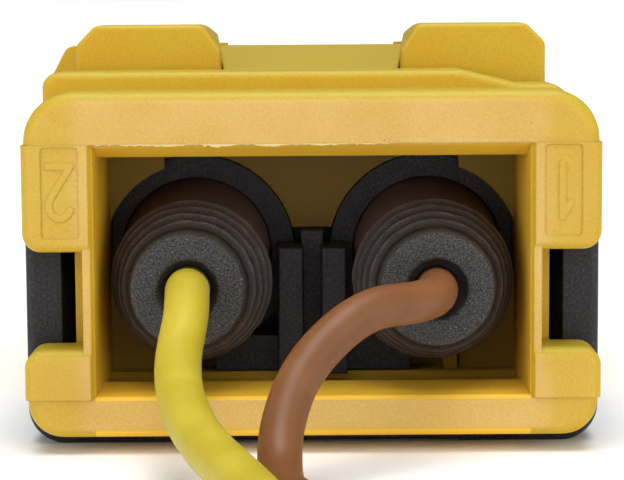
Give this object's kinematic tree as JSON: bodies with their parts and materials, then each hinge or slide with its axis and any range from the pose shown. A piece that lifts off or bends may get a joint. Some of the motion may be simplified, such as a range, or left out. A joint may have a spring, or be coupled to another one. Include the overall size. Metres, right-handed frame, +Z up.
{
  "type": "sealed cable connector",
  "caption": "Sealed plug connector: yellow shell with push lugs and numbered rear frame, black housing with round cable bores, ribbed wire seals and coiled leads.",
  "frame": {"origin": "on the resting plane, under the middle of the connector's own box, leads left out", "axes": "+Z up, +Y towards the mating face, +X towards contact 1"},
  "size_m": [0.0264, 0.0824, 0.0181],
  "materials": {
    "yellow_shell": "moulded PBT, satin",
    "black_housing": "moulded PBT, satin",
    "seal_rubber": "silicone rubber, matt",
    "tinned_contact": "tinned copper alloy strip",
    "spring_steel": "bright stainless strip",
    "copper_strands": "bare stranded copper",
    "brown_lead": "PVC insulation, satin",
    "yellow_lead": "PVC insulation, satin"
  },
  "bodies": {
    "root": {"outer_shell": "yellow_shell", "inner_housing": "black_housing", "mating_seal": "seal_rubber", "wire_seal_1": "seal_rubber", "contact_1": "tinned_contact", "contact_spring_1": "spring_steel", "lead_1_in_seal": "brown_lead", "lead_1_core": "copper_strands", "lead_1": "brown_lead", "lead_1_coil": "brown_lead", "lead_1_tail": "brown_lead", "lead_1_strands": "copper_strands", "wire_seal_2": "seal_rubber", "contact_2": "tinned_contact", "contact_spring_2": "spring_steel", "lead_2_in_seal": "yellow_lead", "lead_2_core": "copper_strands", "lead_2": "yellow_lead", "lead_2_coil": "yellow_lead", "lead_2_tail": "yellow_lead", "lead_2_strands": "copper_strands"},
    "latch": {"latch_arm": "yellow_shell"},
    "lock": {"secondary_lock": "black_housing"},
    "retainer": {"front_retainer": "black_housing"}
  },
  "joints": [
    {"name": "latch_press", "type": "hinge", "parent": "root", "child": "latch", "pos_m": [0, -0.002, 0.0162], "axis": [1, 0, 0], "range_deg": [0, 6], "stiffness_Nm_per_rad": 0.02, "springref_deg": -2.86},
    {"name": "lock_slide", "type": "slide", "parent": "root", "child": "lock", "axis": [0, 1, 0], "range_m": [0, 0.002]},
    {"name": "retainer_slide", "type": "slide", "parent": "root", "child": "retainer", "axis": [0, 1, 0], "range_m": [0, 0.0015]}
  ]
}
